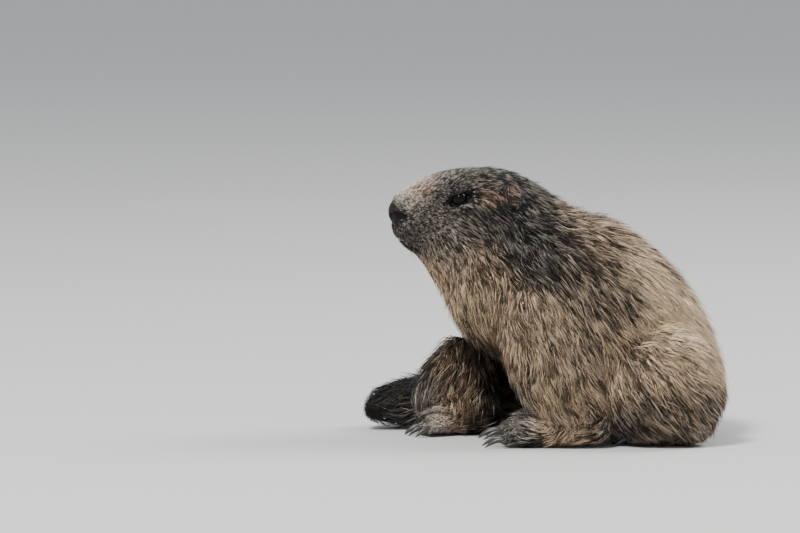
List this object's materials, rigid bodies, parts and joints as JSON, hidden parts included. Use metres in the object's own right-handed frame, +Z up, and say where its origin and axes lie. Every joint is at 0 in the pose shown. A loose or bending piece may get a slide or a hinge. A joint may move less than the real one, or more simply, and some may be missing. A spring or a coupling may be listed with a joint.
{
  "type": "alpine marmot model",
  "caption": "Life-size still model of an alpine marmot sitting hunched with its head raised and its tail laid forward.",
  "frame": {"origin": "middle of the underside of the model's box, on the floor it sits on", "axes": "+Z up, nose towards -X, the animal's left side towards -Y"},
  "size_m": [0.2866, 0.1996, 0.2159],
  "materials": {
    "coat_head": "short grizzled fur",
    "coat_body": "long straw and brown fur",
    "coat_legs": "brown fur",
    "coat_paws": "short dark grey fur",
    "coat_tail": "bushy brown fur with a black tip",
    "nose": "damp fine-grained skin",
    "eyes": "wet glossy black",
    "claws": "worn dark horn"
  },
  "bodies": {
    "root": {"claw_forepaw_left_1": "claws", "claw_forepaw_left_2": "claws", "claw_forepaw_left_3": "claws", "claw_forepaw_left_4": "claws", "claw_forepaw_right_1": "claws", "claw_forepaw_right_2": "claws", "claw_forepaw_right_3": "claws", "claw_forepaw_right_4": "claws", "claw_hind_foot_left_1": "claws", "claw_hind_foot_left_2": "claws", "claw_hind_foot_left_3": "claws", "claw_hind_foot_left_4": "claws", "claw_hind_foot_left_5": "claws", "claw_hind_foot_right_1": "claws", "claw_hind_foot_right_2": "claws", "claw_hind_foot_right_3": "claws", "claw_hind_foot_right_4": "claws", "claw_hind_foot_right_5": "claws", "ear_left": "coat_head", "ear_right": "coat_head", "eye_left": "eyes", "eye_right": "eyes", "forearm_left": "coat_legs", "forearm_right": "coat_legs", "forepaw_left": "coat_paws", "forepaw_right": "coat_paws", "head": "coat_head", "hind_foot_left": "coat_paws", "hind_foot_right": "coat_paws", "hind_leg_left": "coat_body", "neck": "coat_body", "nose": "nose", "shank_right": "coat_legs", "tail_end": "coat_tail", "tail_root": "coat_tail", "thigh_right": "coat_body", "torso": "coat_body", "upper_arm_left": "coat_body", "upper_arm_right": "coat_body"}
  },
  "joints": []
}
